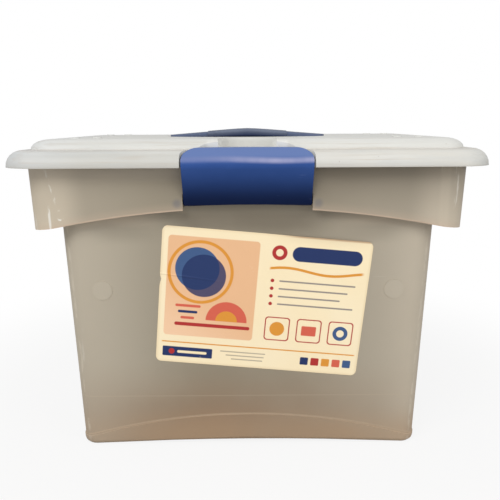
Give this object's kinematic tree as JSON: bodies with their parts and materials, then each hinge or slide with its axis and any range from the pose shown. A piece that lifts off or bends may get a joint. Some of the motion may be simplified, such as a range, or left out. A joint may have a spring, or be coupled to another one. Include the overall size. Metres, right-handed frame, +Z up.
{
  "type": "portable file box",
  "caption": "Portable box for hanging files: tapered translucent tub with hand-hold skirt, lift-off lid, swing latches front and rear, and an arched carry handle over a dish.",
  "frame": {"origin": "centre of the footprint on the table", "axes": "+Z up, +X along the length, the label and the front latch face -Y"},
  "size_m": [0.4, 0.254, 0.2855],
  "materials": {
    "tub": "translucent natural polypropylene, satin",
    "lid": "off-white, satin",
    "latch": "blue, semi-gloss",
    "handle": "blue, semi-gloss",
    "grip": "soft touch",
    "label": "printed paper"
  },
  "bodies": {
    "tub": {"tub": "tub", "front_label": "label"},
    "lid": {"lid": "lid", "carry_handle": "handle", "soft_grip": "grip"},
    "front_latch": {"front_latch": "latch"},
    "rear_latch": {"rear_latch": "latch"}
  },
  "joints": [
    {"name": "lid_lift", "type": "slide", "parent": "tub", "child": "lid", "axis": [0, 0, 1], "range_m": [0, 0.3]},
    {"name": "front_latch_swing", "type": "hinge", "parent": "tub", "child": "front_latch", "pos_m": [0, -0.10952, 0.227], "axis": [1, 0, 0], "range_deg": [0, 150]},
    {"name": "rear_latch_swing", "type": "hinge", "parent": "tub", "child": "rear_latch", "pos_m": [0, 0.10952, 0.227], "axis": [-1, 0, 0], "range_deg": [0, 150]}
  ]
}
